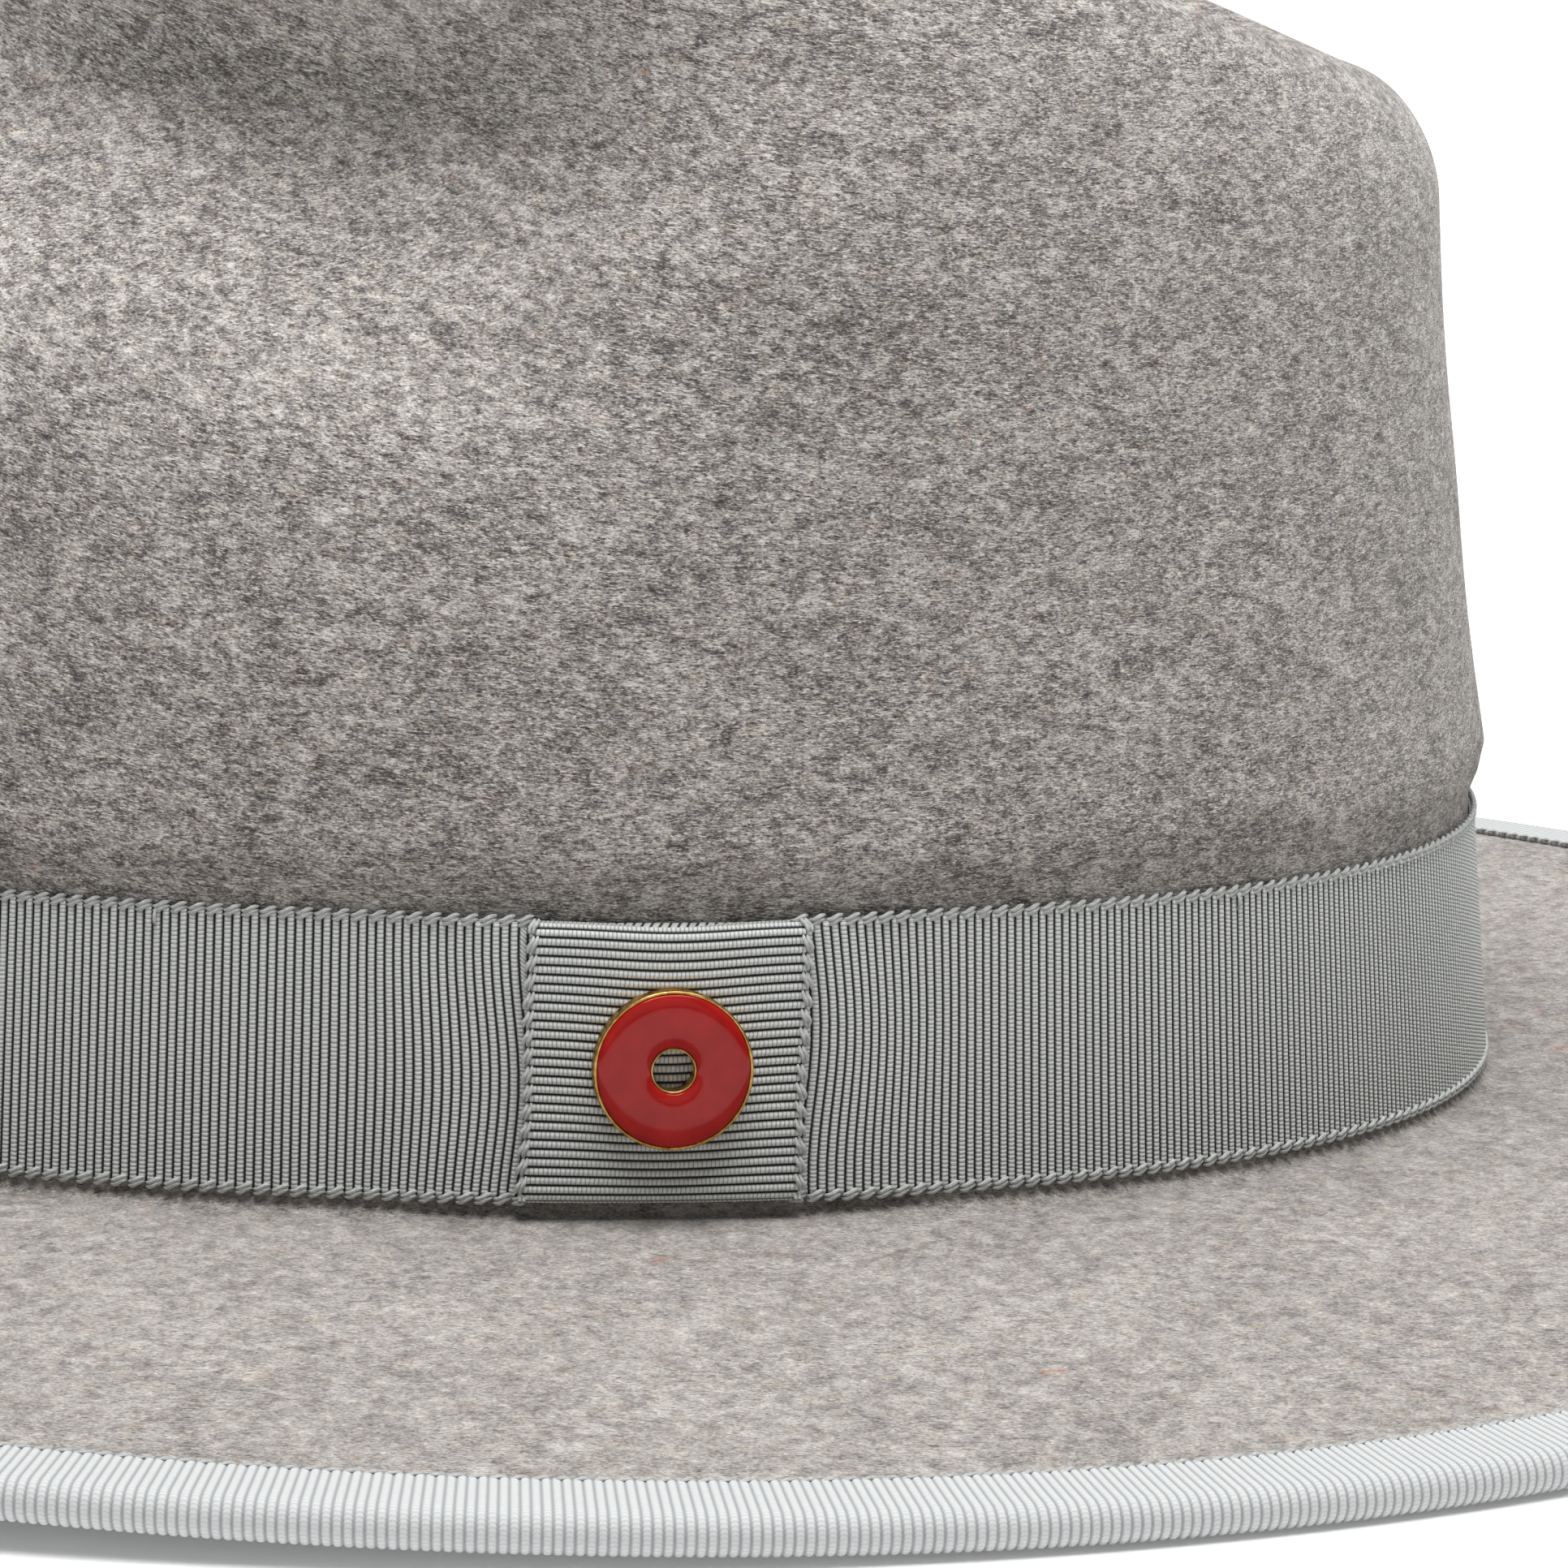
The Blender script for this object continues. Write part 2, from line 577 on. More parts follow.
def plated_material():
    """Dull plated metal of the clutches, with fine turning marks."""
    plated = Shader("plated_metal")
    place = plated.place()
    marks = plated.noise(plated.mapped(place, (5200, 700, 700)), 1.0, 3.0, 0.6)
    stain = plated.noise(place, 500, 3.0, 0.6)
    colour = plated.mix(plated.step(stain, 0.35, 0.7), srgb(176, 150, 104), srgb(212, 188, 142))
    return plated.finish(colour, plated.scaled(marks, 0.25, 0.25),
                         plated.bump(marks, 0.12, 0.00005), Metallic=1.0)


# ---- Felt body ----

def grid_normals(places):
    """Unit normals of a grid whose rows run round the hat, pointing out of it."""
    round_hat = np.roll(places, -1, axis=1) - np.roll(places, 1, axis=1)
    down_row = np.gradient(places, axis=0)
    normals = np.cross(down_row, round_hat)
    length = np.linalg.norm(normals, axis=-1, keepdims=True)
    return np.where(length > 1e-9, normals / np.maximum(length, 1e-9), (0.0, 0.0, 1.0))


def meridian_rows(angles):
    """The felt's outer face: rows from the middle of the crown to the brim's rounded edge."""
    wall_shares = np.concatenate([np.linspace(0, SHOULDER_SHARE, 34)[:-1],
                                  np.linspace(SHOULDER_SHARE, 0.97, 34), [0.985, 0.993, 0.998]])
    outwards = np.concatenate([[0.02, 0.12, 0.3, 0.55, 0.9, 1.4, 2.2, 3.4, 5.0], np.linspace(7, 66, 30),
                               [68.5, 71, 73]])
    rows = [crown_top(angles, share) for share in np.linspace(0, 1, 46)[:-1]]
    rows += [crown_wall(angles, share) for share in wall_shares]
    rows += [oval_place(angles, outward, brim_top_height(angles, outward)) for outward in outwards]
    edge = felt_edge(angles)
    for short, drop in ((2.0, 0.0), (1.2, 0.0), (0.6, 0.08), (0.2, 0.32), (0.0, 0.75)):
        rows.append(oval_place(angles, edge - short, brim_top_height(angles, edge - short) - drop))
    return np.array(rows)


def felt_body(material):
    """Crown and brim: one piece of felt with its hand-blocked unevenness."""
    outside = meridian_rows(full_turn(320))
    normals = grid_normals(outside)
    unevenness = (0.35 * np.sin(outside[..., 0] / 11 + 1.3 * np.sin(outside[..., 2] / 17))
                  + 0.3 * np.sin(outside[..., 1] / 13 + 1.7 * np.sin(outside[..., 2] / 9 + 2)))
    under_band = np.abs(outside[..., 2] - BREAK_LIFT) < 30
    outside += normals * (unevenness * np.where(under_band, 0.0, 0.5))[..., None]
    rounded_rows = 2
    inside = (outside - normals * FELT)[:-rounded_rows][::-1]
    piece = grid_piece("felt_body_visual", np.concatenate([outside, inside]), closed_columns=True)
    merge_points(piece.data)
    return dress(piece, material, "felt", "felt_body")


def merge_points(mesh):
    """Merge points that coincide, as at the poles of a dome."""
    held = bmesh.new()
    held.from_mesh(mesh)
    bmesh.ops.remove_doubles(held, verts=held.verts, dist=1e-6)
    bmesh.ops.recalc_face_normals(held, faces=held.faces)
    held.to_mesh(mesh)
    held.free()
    mesh.polygons.foreach_set("use_smooth", [True] * len(mesh.polygons))


# ---- Ribbons ----

def speed(angle, outward=0.0):
    """Distance travelled per radian along a line at a distance outward from the oval."""
    plain = np.hypot(HALF_WIDTH * np.sin(angle), HALF_LENGTH * np.cos(angle))
    turn_rate = HALF_WIDTH * HALF_LENGTH / plain ** 2
    return plain + outward * turn_rate


class ArcMap:
    """Turns distance along the oval into angle, and back."""

    def __init__(self, outward):
        self.angles = np.linspace(0, TURN, 20001)
        if callable(outward):
            outward = outward(self.angles)
        pace = speed(self.angles, outward)
        steps = (pace[1:] + pace[:-1]) / 2 * np.diff(self.angles)
        self.arcs = travelled(steps)
        self.length = float(self.arcs[-1])

    def angle(self, arc):
        return np.interp(np.mod(arc, self.length), self.arcs, self.angles)

    def arc(self, angle):
        return np.interp(np.mod(angle, TURN), self.angles, self.arcs)


OVAL = ArcMap(0.0)
BAND = ArcMap(1.0)
EDGE = ArcMap(brim_reach)
KEEPER_ANGLE = float(OVAL.angle(KEEPER_ARC))
PIN_ANGLE = float(OVAL.angle(KEEPER_ARC + PIN_BEHIND_KEEPER))


def arc_from(angle, centre):
    """Distance along the oval from a centre angle."""
    turn = np.mod(angle - centre + math.pi, TURN) - math.pi
    return turn * speed(centre + turn / 2)


def even_ribs(length):
    """How many ribs a closed ribbon of this length has: an even number, so that the beads alternate."""
    return int(round(length / RIB_PITCH / 2)) * 2


def from_keeper(arc):
    """Distance along the hatband from the middle of the keeper, minus in front of it."""
    return np.mod(arc - BAND.arc(KEEPER_ANGLE) + BAND.length / 2, BAND.length) - BAND.length / 2


def band_inside(angle):
    swell = smooth((SWELL_REACH - np.abs(arc_from(angle, KEEPER_ANGLE))) / SWELL_SLOPE)
    return GAP + LAYER * swell


def rib_bulge(phase, height):
    """Rounded ribs: phase counts ribs, height is that of a rib."""
    return height * (np.abs(np.sin(math.pi * phase)) ** 0.7 - 0.6)


def hatband(material):
    """The ribbon round the crown's foot, its ribs upright, a little puckered beside the keeper."""
    rib_count = even_ribs(BAND.length)
    per_rib = 6
    phase = np.arange(rib_count * per_rib + 1) / per_rib
    arc = phase / rib_count * BAND.length
    heights = np.concatenate([[0.0, 0.35], np.linspace(1.0, RIBBON - 1.0, 12), [RIBBON - 0.35, RIBBON]])
    away = from_keeper(arc)
    beside = smooth(1 - (np.abs(away) - PUCKER_START) / PUCKER_FADE)
    held_in = smooth((HELD_IN - np.abs(away)) / 0.8)
    front = []
    for height in heights:
        level = height / RIBBON - 0.5
        pucker = beside * (0.55 * np.sin(level * 6 + np.sign(away)) * np.sign(away))
        angle = BAND.angle(arc + pucker)
        rounding = 1.0 if 0.3 < height < RIBBON - 0.3 else 0.35
        ripple = beside * 0.18 * np.sin(away / 2.3 + level * 3)
        outward = band_inside(angle) + RIBBON_THICK * 0.75 + rib_bulge(phase, BAND_RIB) * rounding + ripple
        inset = held_in * (0.35 - 0.95 * height / RIBBON)
        front.append(wall_place(angle, outward, BAND_FOOT + height + inset))
    back_angle = BAND.angle(arc)
    back = [wall_place(back_angle, band_inside(back_angle), BAND_FOOT + height)
            for height in (RIBBON - 0.1, 0.1)]
    places = np.array(front + back)[:, :-1]
    levels = np.concatenate([heights, [RIBBON, 0.0, heights[0]]])
    weave = np.broadcast_arrays(phase * RIB_PITCH, levels[:, None])
    piece = grid_piece("hatband_visual", places, closed_rows=True, closed_columns=True, weave=weave)
    return dress(piece, material, "band_ribbon", "hatband")


STITCH = np.linspace(-0.5, 0.5, 7)


def tapered(stretch):
    """A stitch's thickness along its length: 1 in its middle, rounded off at its ends."""
    return np.sqrt(np.clip(1 - (stretch / 0.56) ** 2, 0.12, 1))


def tubes(name, paths, radii):
    """One piece of many short threads: paths is (threads, points, 3) in mm, radii (points,)."""
    around = 6
    count, points = paths.shape[:2]
    ahead = unit(np.gradient(paths, axis=1))
    helper = np.where(np.abs(ahead[..., 2:3]) < 0.8, (0.0, 0.0, 1.0), (1.0, 0.0, 0.0))
    side = unit(np.cross(ahead, helper))
    other = np.cross(side, ahead)
    turn = full_turn(around)
    ring = (side[:, :, None, :] * np.cos(turn)[None, None, :, None]
            + other[:, :, None, :] * np.sin(turn)[None, None, :, None])
    places = paths[:, :, None, :] + ring * np.asarray(radii)[None, :, None, None]
    thread = np.arange(count)[:, None, None] * points * around
    along = np.arange(points - 1)[None, :, None] * around
    here = np.arange(around)[None, None, :]
    there = (here + 1) % around
    near, far = thread + along, thread + along + around
    corners = np.broadcast_arrays(near + here, near + there, far + there, far + here)
    faces = np.stack(corners, axis=-1).reshape(-1, 4).tolist()
    ends = np.arange(count)[:, None] * points * around + np.arange(around)[None, :]
    faces += ends[:, ::-1].tolist() + (ends + (points - 1) * around).tolist()
    mesh = bpy.data.meshes.new(name)
    mesh.from_pydata((places.reshape(-1, 3) * MM).tolist(), [], faces)
    layer = mesh.uv_layers.new(name="weave")
    corner_points = np.empty(len(mesh.loops), dtype=np.int32)
    mesh.loops.foreach_get("vertex_index", corner_points)
    step = np.linalg.norm(paths[0, 1] - paths[0, 0])
    u = (corner_points // around) * step
    v = (corner_points % around) / around * 1.4
    layer.data.foreach_set("uv", np.stack([u, v], axis=-1).reshape(-1).astype(np.float32))
    return add_piece(name, mesh)


def edge_loops(name, centres, ahead, edgeward, out, length, height, strand):
    """The turns of weft along a ribbon's edge: pairs of slanted strands, one pair at each centre."""
    threads = []
    for offset in (-0.5, 0.5):
        along = STITCH * length * 0.92
        rise = height * (0.30 * np.tanh(STITCH * 5) + offset * 0.5)
        stand = strand * (1.1 - 5.0 * STITCH ** 2)
        threads.append(centres[:, None, :] + ahead[:, None, :] * along[None, :, None]
                       + edgeward[:, None, :] * rise[None, :, None] + out[:, None, :] * stand[None, :, None])
    return tubes(name, np.concatenate(threads), strand * tapered(STITCH))


def band_edges(material):
    """The woven edges of the hatband, top and bottom."""
    pitch = 2 * RIB_PITCH
    count = int(BAND.length / pitch)
    arcs = np.arange(count) * BAND.length / count
    arcs = arcs[np.abs(from_keeper(arcs)) > EDGE_STOP]
    angles = BAND.angle(arcs)
    made = []
    for name, height, upward in (("hatband_top_edge", RIBBON, 1.0), ("hatband_foot_edge", 0.0, -1.0)):
        outward = band_inside(angles) + RIBBON_THICK * 0.55
        place = wall_place(angles, outward, BAND_FOOT + height + 0.1 * upward)
        ahead = unit(wall_place(angles + 0.001, 0, height) - wall_place(angles, 0, height))
        edgeward = np.broadcast_to((0.0, 0.0, upward), place.shape)
        piece = edge_loops(name, place, ahead * upward, edgeward, oval_normal(angles), pitch, 0.8, 0.24)
        made.append(dress(piece, material, "band_ribbon"))
    return made


KEEPER_BACK = GAP
KEEPER_FRONT = GAP + 3 * LAYER + 0.1
KEEPER_LOW = BAND_FOOT - 0.3
KEEPER_HIGH = BAND_FOOT + RIBBON + 0.05
KEEPER_BEND = (KEEPER_FRONT - KEEPER_BACK) / 2
KEEPER_STRAIGHT = KEEPER_HIGH - KEEPER_LOW - 2 * KEEPER_BEND
KEEPER_LOOP = 2 * KEEPER_STRAIGHT + TURN * KEEPER_BEND


def keeper_path(distance):
    """The keeper's loop from its side: down the front, under, up the back and over.

    Gives the outward distance and height, and the direction that the loop's face points in."""
    bend = math.pi * KEEPER_BEND
    distance = np.mod(distance, KEEPER_LOOP)
    zones = [distance < KEEPER_STRAIGHT, distance < KEEPER_STRAIGHT + bend, distance < KEEPER_LOOP - bend]
    turn_low = (distance - KEEPER_STRAIGHT) / KEEPER_BEND
    turn_high = (distance - KEEPER_LOOP + bend) / KEEPER_BEND
    face_out = np.select(zones, [1.0, np.cos(turn_low), -1.0], -np.cos(turn_high))
    face_up = np.select(zones, [0.0, -np.sin(turn_low), 0.0], np.sin(turn_high))
    low, high = KEEPER_LOW + KEEPER_BEND, KEEPER_HIGH - KEEPER_BEND
    height = np.select(zones, [high - distance, low, low + distance - KEEPER_STRAIGHT - bend], high)
    outward = (KEEPER_FRONT + KEEPER_BACK) / 2 + KEEPER_BEND * face_out
    return outward, height + KEEPER_BEND * face_up, face_out, face_up


def keeper_surface(distance, across, lift):
    """A place on the keeper: distance round its loop, across its width, lifted off its face."""
    outward, height, face_out, face_up = keeper_path(distance)
    level = np.clip((height - KEEPER_LOW) / (KEEPER_HIGH - KEEPER_LOW), 0, 1)
    sag = np.exp(-(across / 7.5) ** 2) * (0.42 * level + 0.5 * np.sin(math.pi * level))
    shift = 0.03 * (height - RIBBON / 2) + 0.12 * np.sin(height / 3.1 + across / 9)
    angle = OVAL.angle(KEEPER_ARC + across + shift)
    return wall_place(angle, outward + lift * face_out, height + lift * face_up - sag)


def hatband_keeper(material):
    """The loop of ribbon round the hatband, its ribs level and its beads modelled."""
    ribs = even_ribs(KEEPER_LOOP)
    front_share = 0.56
    front_ribs = int(ribs * front_share)
    phase = np.concatenate([np.arange(0, front_ribs, 1 / 6), np.arange(front_ribs, ribs - 2, 1 / 2),
                            np.arange(ribs - 2, ribs, 1 / 6)])
    distance = phase / ribs * KEEPER_LOOP
    bead_count = int(RIBBON / BEAD_PITCH)
    edge = RIBBON / 2 - WOVEN_EDGE
    across = np.linspace(-edge, edge, bead_count * 4 + 1)
    bead = np.abs(np.sin(math.pi * (across[None, :] / BEAD_PITCH + 0.5 * (np.floor(phase)[:, None] % 2))))
    lift = rib_bulge(phase, KEEPER_RIB)[:, None] * (0.72 + 0.28 * bead ** 0.6)
    outer = keeper_surface(distance[:, None], across[None, :], lift)
    inner_across = np.array([edge, 0.0, -edge])
    inner = keeper_surface(distance[:, None], inner_across[None, :], np.full((1, 1), -0.45))
    places = np.concatenate([outer, inner], axis=1)
    v_line = np.concatenate([across, inner_across, across[:1]])
    weave = np.broadcast_arrays(np.append(phase, ribs)[:, None] * RIB_PITCH, v_line[None, :])
    piece = grid_piece("hatband_keeper_visual", places, closed_rows=True, closed_columns=True, weave=weave)
    return dress(piece, material, "band_ribbon", "hatband_keeper")


def keeper_edges(material):
    """The woven edges of the keeper, left and right."""
    pitch = 2 * RIB_PITCH
    distance = np.arange(-1.0, KEEPER_HIGH - KEEPER_LOW + 0.5, pitch)
    made = []
    for name, side in (("keeper_front_edge", -1.0), ("keeper_back_edge", 1.0)):
        across = np.full_like(distance, side * (RIBBON / 2 - 0.12))
        place = keeper_surface(distance, across, np.zeros_like(distance))
        below = keeper_surface(distance + 0.3, across, np.zeros_like(distance))
        beyond = keeper_surface(distance, across + side, np.zeros_like(distance))
        ahead = unit(below - place)
        edgeward = unit(beyond - place)
        out = np.cross(ahead, edgeward) * side
        piece = edge_loops(name, place, ahead, edgeward, out, pitch, 0.75, 0.22)
        made.append(dress(piece, material, "band_ribbon"))
    return made


def binding_section(angle, kind, amount):
    """The outward distance and height of the binding's outer face.

    The amount is a distance in from the edge on the top and the underside, and an angle on the arc
    between them."""
    reach = brim_reach(angle)
    half = FELT / 2 + GAP + RIBBON_THICK * 0.8
    middle_edge = brim_top_height(angle, felt_edge(angle)) - FELT / 2
    if kind == "arc":
        return reach - half + (half - 0.1) * math.cos(amount) - 0.1, middle_edge + half * math.sin(amount)
    outward = reach - amount
    middle = brim_top_height(angle, outward) - FELT / 2
    return outward, middle + (half if kind == "top" else -half)


def brim_binding(material):
    """The ribbon folded over the brim's edge, its ribs square to the edge."""
    rib_count = even_ribs(EDGE.length)
    per_rib = 4
    phase = np.arange(rib_count * per_rib) / per_rib
    arc = phase / rib_count * EDGE.length
    angle = EDGE.angle(arc)
    steps = [("top", cover) for cover in (BINDING_COVER, BINDING_COVER - 0.4, 6.2, 4.0, 1.9)]
    steps += [("arc", math.radians(turn)) for turn in (66, 44, 22, 0, -22, -44, -66)]
    steps += [("under", cover) for cover in (1.9, 5.0, BINDING_COVER - 0.4, BINDING_COVER)]
    rows, path = [], [np.zeros_like(angle)]
    for number, (kind, amount) in enumerate(steps):
        outward, height = binding_section(angle, kind, amount)
        facing = {"top": math.pi / 2, "arc": amount, "under": -math.pi / 2}[kind]
        lift_out, lift_up = math.cos(facing), math.sin(facing)
        size = BINDING_RIB * (0.5 if number in (0, len(steps) - 1) else 1.0)
        lift = rib_bulge(phase, size) + 0.08
        place = oval_place(angle, outward + lift * lift_out, height + lift * lift_up)
        if rows:
            path.append(path[-1] + np.linalg.norm(place - rows[-1], axis=-1))
        rows.append(place)
    for kind, cover, thick in (("under", BINDING_COVER - 0.1, 0.64), ("under", 2.0, 0.42),
                               ("top", 2.0, 0.42), ("top", BINDING_COVER - 0.1, 0.64)):
        outward, height = binding_section(angle, kind, cover)
        rows.append(oval_place(angle, outward, height + (thick if kind == "under" else -thick)))
        path.append(path[-1] + 1.0)
    places = np.array(rows)
    v = np.array(path + [path[0]])
    v = np.concatenate([v, v[:, :1]], axis=1)
    u = np.broadcast_to(np.append(phase, rib_count) * RIB_PITCH, v.shape)
    piece = grid_piece("brim_binding_visual", places, closed_rows=True, closed_columns=True, weave=(u, v))
    return dress(piece, material, "binding_ribbon", "brim_binding")


def binding_stitches(material):
    """Small slanted stitches that fell the binding's inner edges to the felt, above and below."""
    pitch = 2 * RIB_PITCH
    count = int(EDGE.length / pitch)
    angles = EDGE.angle(np.arange(count) * EDGE.length / count)
    made = []
    ahead = unit(oval_place(angles + 0.001, BRIM_WIDTH, 0) - oval_place(angles, BRIM_WIDTH, 0))
    for name, kind, up, nodes in (("binding_stitches_top", "top", 1.0, ["binding_thread"]),
                                  ("binding_stitches_under", "under", -1.0, [])):
        outward, height = binding_section(angles, kind, BINDING_COVER - 0.1)
        place = oval_place(angles, outward, height - 0.05 * up)
        out = np.broadcast_to((0.0, 0.0, up), place.shape)
        piece = edge_loops(name, place, ahead, -oval_normal(angles), out, pitch, 0.62, 0.15)
        made.append(dress(piece, material, "thread", *nodes))
    return made


# ---- Inside of the crown ----

def sweat_outside(angle):
    """Where the sweatband's outer face lies; it stands off the wall over the pin's clutches."""
    swell = SWEAT_SWELL * smooth((SWELL_REACH - np.abs(arc_from(angle, PIN_ANGLE))) / SWELL_SLOPE)
    return -(FELT + 3 * GAP + LINING) - swell


def inside_ring(name, columns, outline):
    """A ring inside the hat: outline(angles) gives (outward, height) pairs in order round its section."""
    angles = full_turn(columns)
    rows = np.array([wall_place(angles, outward, height) for outward, height in outline(angles)])
    v = travelled(np.linalg.norm(np.roll(rows, -1, axis=0) - rows, axis=-1)[:, 0])
    u = np.append(OVAL.arc(angles), OVAL.length)
    weave = np.broadcast_arrays(u, v[:, None])
    return grid_piece(name, rows, closed_rows=True, closed_columns=True, weave=weave)


def sweat_lean(angle, height):
    """How far the leather leans in towards the head, more at its free upper edge."""
    level = np.clip((height - SWEAT_FOOT) / SWEAT_HEIGHT, 0, 1)
    return level ** 2 * (0.35 + 0.3 * np.sin(5 * angle + 1) + 0.2 * np.sin(11 * angle))


def sweatband(material):
    """The leather band that sits against the head, its upper edge free."""
    heights = SWEAT_FOOT + np.linspace(0.25, SWEAT_HEIGHT - 0.25, 15)

    def outline(angles):
        pairs = []
        for height in heights:
            pairs.append((sweat_outside(angles) - sweat_lean(angles, height), height))
        middle = sweat_outside(angles) - SWEAT_THICK / 2
        top = SWEAT_FOOT + SWEAT_HEIGHT
        pairs.append((middle - sweat_lean(angles, top), top))
        for height in heights[::-1]:
            pairs.append((sweat_outside(angles) - SWEAT_THICK - sweat_lean(angles, height), height))
        pairs.append((middle, SWEAT_FOOT))
        return pairs
    piece = inside_ring("sweatband_visual", 420, outline)
    return dress(piece, material, "sweatband_leather", "sweatband")


def stitch_row(name, length, pitch, radius, place):
    """Stitches round the hat: place(angle, sink) is a point of the seam, sunk below the cloth's face."""
    count = int(OVAL.length / pitch)
    arcs = np.arange(count) * OVAL.length / count
    angles = OVAL.angle(arcs[:, None] + STITCH[None, :] * length)
    sink = np.broadcast_to(radius * (6 * STITCH ** 2 - 0.5), angles.shape)
    return tubes(name, place(angles, sink), radius * tapered(STITCH))


def sweatband_stitches(material):
    """The row of stitches that sews the leather to its tape."""
    def place(angle, sink):
        return wall_place(angle, sweat_outside(angle) - SWEAT_THICK + sink, SWEAT_FOOT + SWEAT_SEAM)
    piece = stitch_row("sweatband_stitches", 2.3, 3.1, THREAD, place)
    return dress(piece, material, "thread", "sweatband_thread")


def reed_tape(material):
    """The tape folded round the reed, open at the top where it is sewn."""
    turns = np.radians(np.linspace(60, -240, 17))
    middle = -(FELT + 2 * GAP + TAPE_OUTSIDE)

    def outline(angles):
        pairs = []
        for reach, order in ((TAPE_OUTSIDE, turns), (TAPE_INSIDE, turns[::-1])):
            for turn in order:
                pucker = 0.03 * np.sin(90 * angles + 2 * turn) if reach == TAPE_INSIDE else 0.0
                pairs.append((middle + reach * math.cos(turn) + pucker, REED_HEIGHT + reach * math.sin(turn)))
        return pairs
    piece = inside_ring("reed_tape_visual", 360, outline)
    return dress(piece, material, "tape", "reed_tape")


def strip(name, path, across, out, widths, thickness):
    """A narrow ribbon along a path: across points over its width and out from its face."""
    rows = []
    for side, face in ((-0.5, 0.5), (0.0, 0.5), (0.5, 0.5), (0.5, -0.5), (0.0, -0.5), (-0.5, -0.5)):
        rows.append(path + across * (widths * side)[:, None] + out * thickness * face)
    places = np.array(rows)
    places[:, 0] = path[0]
    places[:, -1] = path[-1]
    v = np.array([0.0, 0.5, 1.0, 1.0, 0.5, 0.0, 0.0])[:, None] * widths[None, :]
    u = np.broadcast_to(travelled(np.linalg.norm(np.diff(path, axis=0), axis=-1)), v.shape)
    piece = grid_piece(name, places, closed_rows=True, weave=(u, v))
    merge_points(piece.data)
    return piece


def wall_axes(angle):
    """Sideways, up and out of the wall at an angle."""
    out = unit(oval_normal(angle) + (0, 0, lean_slope(angle)))
    sideways = unit(np.cross((0, 0, 1), out))
    return sideways, np.cross(out, sideways), out


def sweatband_bow(material):
    """The small flat bow at the back of the sweatband: two loops, two tails and a knot."""
    back = math.pi / 2
    sideways, up, out = wall_axes(back)
    centre = wall_place(back, sweat_outside(back) - SWEAT_THICK - 2.1, SWEAT_HEIGHT - 3.0)
    turn = np.linspace(0, 1, 41)
    share = np.linspace(0, 1, 15)
    made = []
    for side in (-1, 1):
        end = "left" if side < 0 else "right"
        reach = BOW_REACH * np.sin(math.pi * turn) ** 0.8
        path = centre + side * np.outer(reach, sideways) + np.outer(0.85 * np.sin(TURN * turn), out)
        path = path + np.outer(0.5 * reach / BOW_REACH, up)
        facing = np.cross(unit(np.gradient(path, axis=0)), up)
        widths = 1.1 + 1.5 * np.sin(math.pi * turn)
        made.append(strip(f"bow_loop_{end}", path, up, facing, widths, BOW_THICK))
        tail = centre + np.outer(side * (0.6 + 4.2 * share), sideways) - np.outer(0.8 + 5.0 * share, up)
        tail = tail + np.outer(0.25 * np.sin(5 * share) + 0.3, out)
        across = np.cross(unit(tail[-1] - tail[0]), out)
        made.append(strip(f"bow_tail_{end}", tail, across, out, 1.1 + 0.9 * share, BOW_THICK))
    turn = np.linspace(0, TURN, 25)
    wrap = centre + np.outer(1.15 * np.cos(turn), out) + np.outer(0.95 * np.sin(turn), up)
    facing = np.outer(np.cos(turn), out) + np.outer(np.sin(turn), up)
    made.append(strip("bow_knot", wrap, sideways, facing, np.full(len(turn), 1.9), 0.25))
    for piece in made:
        dress(piece, material, "tape")
    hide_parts("sweatband_bow")
    return made


def size_tab(material):
    """The blank size tab on the inside of the sweatband."""
    sideways, up, out = wall_axes(TAB_ANGLE)
    share = np.linspace(0, 1, 31)
    foot = wall_place(TAB_ANGLE, sweat_outside(TAB_ANGLE) - SWEAT_THICK - 0.7, SWEAT_FOOT + 7.0)
    path = foot + np.outer(TAB_HEIGHT * share, up) - np.outer(0.35 * np.sin(math.pi * share) ** 2, out)
    widths = np.full(len(share), TAB_WIDTH)
    widths[[0, -1]] -= 0.4
    piece = strip("size_tab_visual", path, sideways, out, widths, TAB_THICK)
    return dress(piece, material, "tab_cloth", "size_tab")


def lining_layer(rows, folds):
    """A closed layer of lining inside the felt: rows run round the hat, folds move it further in."""
    normals = grid_normals(rows)
    outer = rows - normals * (FELT + GAP + folds)[..., None]
    inner = rows - normals * (FELT + GAP + LINING + folds)[..., None]
    places = np.concatenate([outer, inner[::-1]])
    v = travelled(np.linalg.norm(np.diff(rows, axis=0), axis=-1).max(axis=1))
    v = np.concatenate([v, v[::-1], v[:1]])
    u = np.linspace(0, OVAL.length, rows.shape[1] + 1)
    return places, np.broadcast_arrays(u, v[:, None])


def lining_tip(material):
    """The top of the lining, under the dented crown."""
    angles = full_turn(240)
    rows = [crown_top(angles, share) for share in np.linspace(0, 1, 40)[:-1]]
    rows += [crown_wall(angles, share) for share in (0.0, 0.025, 0.05, 0.075, 0.1)]
    rows = np.array(rows)
    level = np.linspace(0, 1, len(rows))[:, None]
    folds = 0.25 * level ** 2 * (1 + np.sin(36 * angles + 4 * level)) * (1 - level ** 6)
    places, weave = lining_layer(rows, folds)
    piece = grid_piece("lining_tip_visual", places, closed_columns=True, weave=weave)
    merge_points(piece.data)
    return dress(piece, material, "lining", "lining_tip")


